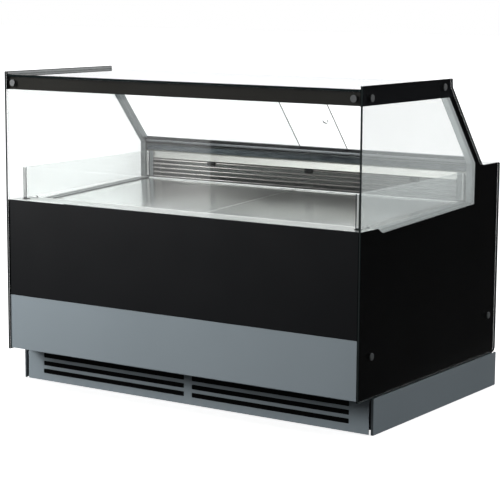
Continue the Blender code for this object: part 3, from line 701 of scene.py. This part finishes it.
def deck_beads():
    """Bright bead along the foot of each deck plate's rear lip, and the turned edge at their joint."""
    radius, steps = 0.0019, 12
    depth, height = DECK_REAR[0] - 0.0024, DECK_REAR[1] + 0.0014
    turns = [2 * math.pi * i / steps for i in range(steps)]
    outline = [(depth - radius * math.cos(turn), height + radius * math.sin(turn)) for turn in turns]
    for side_name in SIDES:
        low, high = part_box(f"deck_plate_{side_name}")
        prism(f"deck_bead_{side_name}", outline, "X", low.x + 0.0005, high.x - 0.0005, bright_trim,
              f"deck_plate_{side_name}", "stainless", smooth=True)
    start, end, thickness = DECK_FRONT[0] + 0.002, DECK_REAR[0] - 0.006, 0.0006
    front_foot, rear_foot = DECK_FRONT[1] + GAP, DECK_REAR[1] + GAP
    outline = [(start, front_foot), (end, rear_foot), (end, rear_foot + thickness),
               (start, front_foot + thickness)]
    prism("deck_joint", outline, "X", -0.0040, -0.0010, stainless, "deck_plate_left", "stainless")


def channel_arris():
    """Polished arris just behind the front glass's foot, and the channel's bright rear lip."""
    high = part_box("front_channel")[1]
    foot = high.z + GAP
    for name, start, end, rise, radius, half in (
            ("channel_arris", 0.0090, 0.0150, 0.0018, 0.0012, high.x - 0.001),
            ("channel_lip", 0.1120, 0.1160, 0.0014, 0.0010, 0.700)):
        outline = rounded([(start, foot, 0), (end, foot, 0), (end, high.z + rise, radius),
                           (start, high.z + rise, radius)], steps=3)
        prism(name, outline, "X", -half, half, bright_trim, "cabinet", "stainless", smooth=True)


def slope_bar(out, up, thickness, height):
    """Outline of a bar out from the rear slope and up along it."""
    return [on_slope(out, up), on_slope(out + thickness, up), on_slope(out + thickness, up + height),
            on_slope(out, up + height)]


def track_trim():
    """Brush seals in front of the panes' feet, and a black gasket along the track's front face."""
    pile, half = 0.0008, 0.7355
    for row, face in enumerate((0.0005, 0.0085)):
        outline = slope_bar(face - 0.0002 - pile, 0.0142, pile, 0.0050)
        prism(f"track_brush_{row}", outline, "X", -half, half, brush_grey, "cabinet", "dark_plastic")
    prism("track_gasket", slope_bar(-0.0068, -0.0010, 0.0005, 0.0050), "X", -half, half, seal_black,
          "cabinet", "dark_plastic")


louvre_lips()
duct_cheeks()
screen_spacers()
strip_clips()
deck_beads()
channel_arris()
track_trim()


# --- the operator's side -----------------------------------------------------------------------------

BACK_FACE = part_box("rear_panel")[1].y - FRONT


def add_ring(bm, outer, inner, axis, start, end):
    """A closed frame between two outlines with the same number of points."""
    count = len(outer)
    loops = [[bm.verts.new(place(axis, along, a, b)) for a, b in outline]
             for along in (start, end) for outline in (outer, inner)]
    pairs = [(loops[0], loops[1]), (loops[1], loops[3]), (loops[3], loops[2]), (loops[2], loops[0])]
    for one, other in pairs:
        for i in range(count):
            after = (i + 1) % count
            bm.faces.new([one[i], one[after], other[after], other[i]])


def add_button_head(bm, x, height, base):
    """Low screw head with a socket, standing on the back sheet."""
    segments = 18
    profile = [(0.0045, 0.0), (0.0042, 0.0009), (0.0031, 0.0015), (0.0018, 0.0016), (0.0018, 0.0005)]
    turns = [2 * math.pi * i / segments for i in range(segments)]
    rings = [[bm.verts.new(at(x + radius * math.cos(turn), base + rise, height + radius * math.sin(turn)))
              for turn in turns] for radius, rise in profile]
    for ring, beyond in zip(rings, rings[1:]):
        for i in range(segments):
            after = (i + 1) % segments
            bm.faces.new([ring[i], ring[after], beyond[after], beyond[i]])
    bm.faces.new(rings[0])
    bm.faces.new(rings[-1])


def back_screws():
    """Screws round the back sheet and the grille."""
    columns = [-0.735, -0.3675, 0.0, 0.3675, 0.735]
    rows = {"panel_screws": (0.356, 0.824), "grille_screws": (0.040, 0.330)}
    for name, heights in rows.items():
        middle = sum(heights) / 2
        places = [(x, height) for height in heights for x in columns]
        places += [(columns[0], middle), (columns[-1], middle)]
        bm = bmesh.new()
        for x, height in places:
            add_button_head(bm, x, height, BACK_FACE + GAP)
        piece(name, bm, stainless, "cabinet", "stainless", smooth=True)


def grille_hoods():
    """Pressed hood above each slot of the grille."""
    rows, foot, pitch, slot, proud = 6, 0.170, 0.024, 0.008, 0.0027
    near, far = 0.127, 0.573
    for side_name, side in SIDES.items():
        bm = bmesh.new()
        for row in range(rows):
            top = foot + row * pitch + slot
            outline = [(BACK_FACE + GAP, top + 0.0050), (BACK_FACE + proud, top - 0.0035),
                       (BACK_FACE + proud - 0.0009, top - 0.0042), (BACK_FACE + GAP, top + 0.0016)]
            add_prism(bm, outline, "X", *sorted((side * near, side * far)))
        piece(f"grille_hoods_{side_name}", bm, grey_paint, "cabinet", "grey_paint", bevel=0.0003)


SEGMENTS = {"3": "abcdg", "5": "acdfg"}


def add_digit(bm, digit, left, foot, width, height, front, depth):
    """One seven-segment digit; its left is the reader's left, so it runs towards -X."""
    bar = width * 0.20
    spans = {
        "a": (0, height - bar, width, height), "d": (0, 0, width, bar),
        "g": (0, (height - bar) / 2, width, (height + bar) / 2),
        "b": (width - bar, height / 2, width, height), "c": (width - bar, 0, width, height / 2),
        "f": (0, height / 2, bar, height),
    }
    gap = bar * 0.22
    for segment in SEGMENTS[digit]:
        x0, z0, x1, z1 = spans[segment]
        corners = rectangle((left - x1 + gap, foot + z0 + gap), (left - x0 - gap, foot + z1 - gap))
        add_prism(bm, corners, "Y", front, front + depth)


def thermostat_display():
    """Dark lens with two lit figures and a point, above the buttons."""
    low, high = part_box("thermostat")
    middle, face = (low.x + high.x) / 2, high.y - FRONT
    foot, top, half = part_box("button_set")[1].z + 0.0030, high.z - 0.0035, 0.021
    corners = [(a, b, 0.0012) for a, b in rectangle((middle - half, foot), (middle + half, top))]
    prism("display_lens", rounded(corners, steps=3), "Y", face + 0.0001, face + 0.0004, lens_black, "cabinet",
          "dark_plastic")
    height = (top - foot) * 0.66
    base = foot + (top - foot) * 0.17
    width = height * 0.55
    front, depth, dot = face + 0.00045, 0.00015, width * 0.18
    bm = bmesh.new()
    for digit, left in (("3", middle + width * 1.45), ("5", middle - width * 0.30)):
        add_digit(bm, digit, left, base, width, height, front, depth)
    add_prism(bm, rectangle((middle, base), (middle + dot, base + dot)), "Y", front, front + depth)
    piece("display_figures", bm, figure_glow, "cabinet", "lamp_lens")


def switch_bezels():
    """Frame round each rocker switch, level with the thermostat's middle."""
    height = sum(corner.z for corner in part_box("thermostat")) / 2
    for name in ("light_switch", "main_switch"):
        middle = sum(corner.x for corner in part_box(name)) / 2
        frames = []
        for half, tall, radius in ((0.0092, 0.0136, 0.0020), (0.0068, 0.0110, 0.0006)):
            corners = rectangle((middle - half, height - tall), (middle + half, height + tall))
            frames.append(rounded([(a, b, radius) for a, b in corners], steps=3))
        bm = bmesh.new()
        add_ring(bm, *frames, "Y", BACK_FACE + GAP, BACK_FACE + 0.0013)
        piece(f"{name}_bezel", bm, dark_plastic, "cabinet", "dark_plastic", bevel=0.0002)


back_screws()
grille_hoods()
thermostat_display()
switch_bezels()


# --- plinth ------------------------------------------------------------------------------------------

def slot_shades():
    """Black sheets behind the two groups of slots: painted shade that keeps the slots dark."""
    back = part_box("plinth_front")[1].y - FRONT
    outline = rectangle((back + 0.0004, 0.020), (back + 0.0040, 0.122))
    for side_name, side in SIDES.items():
        edges = sorted((side * 0.006, side * 0.700))
        prism(f"dust_filter_{side_name}", outline, "X", *edges, filter_black, "cabinet", "dark_plastic",
              bevel=0.0010)


slot_shades()


# --- studio ------------------------------------------------------------------------------------------

def stage_floor():
    """Plain white floor. What shines sees it as the dim floor of a studio."""
    s = Shader("studio_floor")
    path = s.node("LightPath")
    pale = s.tint(s.noise(0.6, 2.0), (0.3, (0.80, 0.80, 0.80)), (0.7, (0.82, 0.82, 0.82)))
    lit = s.principled(Base_Color=pale, Roughness=0.9)
    glow = s.node("Emission", {"Color": (1, 1, 1, 1), "Strength": 0.85}).outputs[0]
    both = s.node("AddShader")
    s.feed(both.inputs[0], lit)
    s.feed(both.inputs[1], glow)
    side = s.spread(s.axis("Object", "X"), 0.0, 1.0, 0.0, 1.2)
    grey = s.tint(side, (0.0, (0.12, 0.12, 0.12)), (1.0, (0.03, 0.03, 0.03)))
    dim = s.node("BsdfDiffuse", {"Color": grey})
    s.done(s.mix(path.outputs["Is Camera Ray"], dim.outputs[0], both.outputs[0]))
    reach = 45.0
    bm = bmesh.new()
    bmesh.ops.create_grid(bm, x_segments=1, y_segments=1, size=reach)
    mesh = bpy.data.meshes.new("studio_floor")
    bm.to_mesh(mesh)
    bm.free()
    mesh.materials.append(s.material)
    floor = bpy.data.objects.new("studio_floor", mesh)
    bpy.context.collection.objects.link(floor)


def world():
    """White surround for the eye; the light comes from above and from behind the counter."""
    made = bpy.data.worlds.new("studio")
    bpy.context.scene.world = made
    made.use_nodes = True
    tree = made.node_tree
    tree.nodes.clear()
    add = tree.nodes.new
    coords = add("ShaderNodeTexCoord")
    split = add("ShaderNodeSeparateXYZ")
    tree.links.new(coords.outputs["Generated"], split.inputs[0])
    back = add("ShaderNodeMapRange")
    for key, value in {"From Min": -0.4, "From Max": 0.6, "To Min": 0.10, "To Max": 1.25}.items():
        back.inputs[key].default_value = value
    back.interpolation_type = "SMOOTHSTEP"
    tree.links.new(split.outputs["Y"], back.inputs["Value"])
    studio = add("ShaderNodeBackground")
    studio.inputs["Color"].default_value = (0.98, 0.99, 1.0, 1)
    tree.links.new(back.outputs["Result"], studio.inputs["Strength"])
    plain = add("ShaderNodeBackground")
    plain.inputs["Color"].default_value = (1, 1, 1, 1)
    path = add("ShaderNodeLightPath")
    mix = add("ShaderNodeMixShader")
    output = add("ShaderNodeOutputWorld")
    tree.links.new(path.outputs["Is Camera Ray"], mix.inputs["Fac"])
    tree.links.new(studio.outputs[0], mix.inputs[1])
    tree.links.new(plain.outputs[0], mix.inputs[2])
    tree.links.new(mix.outputs[0], output.inputs["Surface"])


def starting(*starts):
    """Every object whose name starts in one of these ways."""
    return [obj for obj in bpy.data.objects if obj.name.startswith(starts)]


def softbox(name, position, target, size, power, only=None):
    """A rectangular light aimed at a target. If only is given, it lights nothing else."""
    data = bpy.data.lights.new(name, "AREA")
    data.shape = "RECTANGLE"
    data.size, data.size_y = size
    data.energy = power
    lamp = bpy.data.objects.new(name, data)
    lamp.location = position
    lamp.rotation_mode = "QUATERNION"
    lamp.rotation_quaternion = (Vector(target) - Vector(position)).to_track_quat("-Z", "Y")
    lamp.visible_camera = False
    bpy.context.collection.objects.link(lamp)
    if only:
        lit = bpy.data.collections.new(f"{name}_lit")
        for obj in only:
            lit.objects.link(obj)
        lamp.light_linking.receiver_collection = lit


def camera():
    """A customer's view: a long lens from the right, a little above the counter."""
    yaw, pitch, roll = math.radians(33.785), math.radians(8.648), math.radians(0.335)
    ahead = Vector((-math.sin(yaw) * math.cos(pitch), math.cos(yaw) * math.cos(pitch), -math.sin(pitch)))
    right = Vector((math.cos(yaw), math.sin(yaw), 0))
    up = right.cross(ahead)
    across = right * math.cos(roll) + up * math.sin(roll)
    upward = up * math.cos(roll) - right * math.sin(roll)
    data = bpy.data.cameras.new("camera")
    data.lens = 124.0
    data.sensor_width = 36.0
    view = bpy.data.objects.new("camera", data)
    turn = Matrix((across, upward, -ahead)).transposed()
    view.matrix_world = Matrix.Translation((3.5706, -5.35385, 1.4952)) @ turn.to_4x4()
    bpy.context.collection.objects.link(view)
    bpy.context.scene.camera = view


def lights():
    """Two lights on everything, and the others on chosen pieces."""
    front_faces = [nodes[name] for name in ("front_panel", "front_band", "plinth_front", "front_cap_left",
                                            "front_cap_right", "header_beam")]
    front_faces += starting("header_print")
    veiled = starting("end_window", "screen_")
    bright = starting("duct_cheek", "screen_spacer", "deck_bead", "deck_joint", "channel_", "duct_cover",
                      "front_channel")
    softbox("key", (-4.6, -3.2, 2.4), (-0.5, -0.5, 0.4), (2.2, 2.2), 370, front_faces)
    softbox("glass_card", (-2.97, -3.6, 0.47), (-2.97, 0.0, 0.47), (1.92, 0.76), 5, [nodes["front_glass"]])
    for side_name, side in SIDES.items():
        softbox(f"wash_{side_name}", (side * 4.5, 2.6, 2.0), (side * HALF, 0, 0.95), (2.0, 2.0), 210, veiled)
    softbox("fill", (-0.5, -2.2, 3.0), (0.0, 0.2, 0.7), (2.5, 1.5), 55, bright)
    softbox("gleam", (1.5, -3.0, 3.2), (0.0, 0.3, 0.72), (1.5, 1.5), 170,
            starting("deck_bead", "channel_arris"))
    softbox("glint", (-0.62, 0.02, 0.84), (-0.60, 0.31, 0.76), (0.30, 0.05), 1.3, starting("louvre_lip"))
    for side_name, side in SIDES.items():
        softbox(f"inner_{side_name}", (-side * 0.5, -0.1, 1.0), (side * HALF, -0.1, 0.8), (0.6, 0.3), 9,
                veiled)
    softbox("strip", (1.0, -0.5, 1.6), (0.6, 0.32, 0.81), (0.6, 0.6), 12, [nodes["duct_cover"]])
    softbox("high", (-3.2, -3.9, 4.4), (0.0, 0.3, 0.8), (3.0, 3.0), 60)
    softbox("top", (0.0, 0.2, 3.6), (0.0, 0.0, 0.7), (3.2, 2.4), 30)


stage_floor()
world()
lights()
camera()

scene = bpy.context.scene
scene.view_settings.view_transform = "Standard"
scene.cycles.transparent_max_bounces = 32
scene.cycles.caustics_reflective = False
